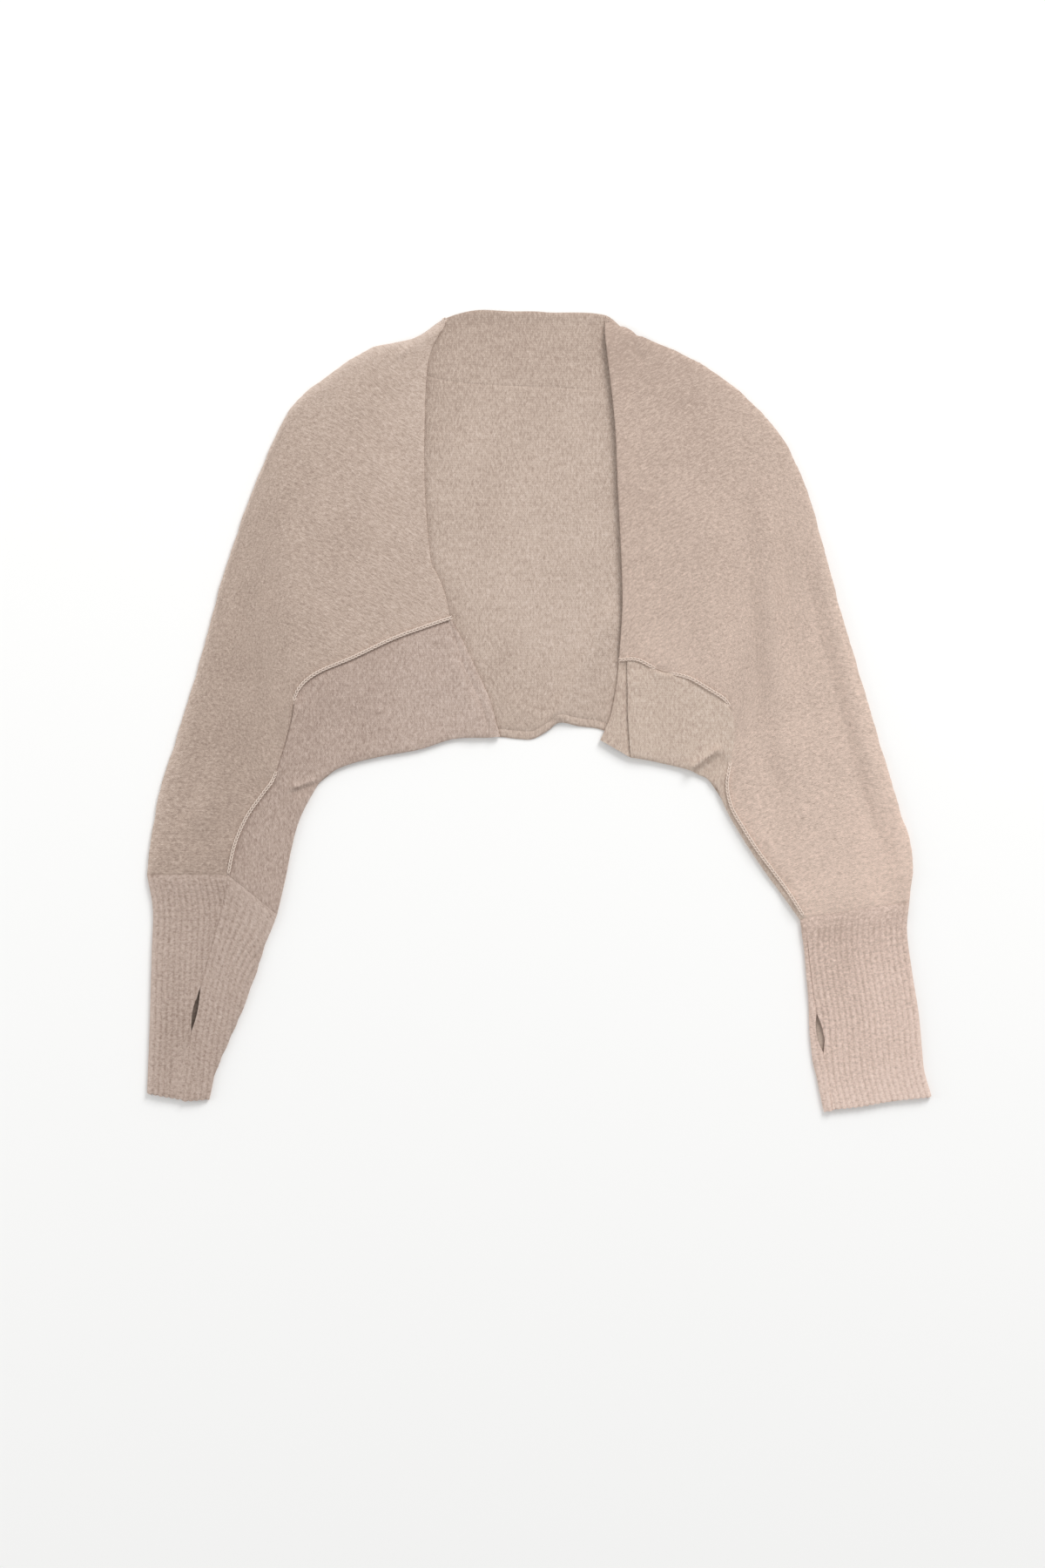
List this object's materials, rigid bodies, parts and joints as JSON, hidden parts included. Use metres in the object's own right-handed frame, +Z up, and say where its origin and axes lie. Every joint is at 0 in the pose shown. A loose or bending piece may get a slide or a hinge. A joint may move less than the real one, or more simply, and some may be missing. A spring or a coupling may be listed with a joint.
{
  "type": "knitted shrug",
  "caption": "Open-front cropped knitted shrug laid flat: wide sleeves cut in one with the fronts, exposed front seams, and long ribbed cuffs with a thumb slit.",
  "frame": {"origin": "centre of the garment's outline, on the surface it lies on", "axes": "+X to the right as seen from above with the neck at the top, +Y from hem to neck, +Z up through the layers of cloth"},
  "size_m": [0.675, 0.689, 0.007],
  "materials": {
    "wool_left": "matt heathered wool knit, taupe, a little darker",
    "wool_right": "matt heathered wool knit, warm oatmeal",
    "wool_back": "matt heathered wool knit, oatmeal taupe"
  },
  "bodies": {
    "root": {"back_panel": "wool_back", "back_neck_band": "wool_back", "back_hem_band": "wool_back", "back_sleeve_left": "wool_left", "back_sleeve_right": "wool_right", "cuff_back_left": "wool_left", "cuff_back_right": "wool_right", "cuff_front_left": "wool_left", "cuff_front_right": "wool_right", "cuff_thumb_left": "wool_left", "cuff_thumb_right": "wool_right", "edge_band_left": "wool_left", "edge_band_right": "wool_right", "front_sleeve_left": "wool_left", "front_sleeve_right": "wool_right", "lower_front_left": "wool_left", "lower_front_right": "wool_right", "seam_ridge_left": "wool_left", "seam_ridge_right": "wool_right"}
  },
  "joints": []
}
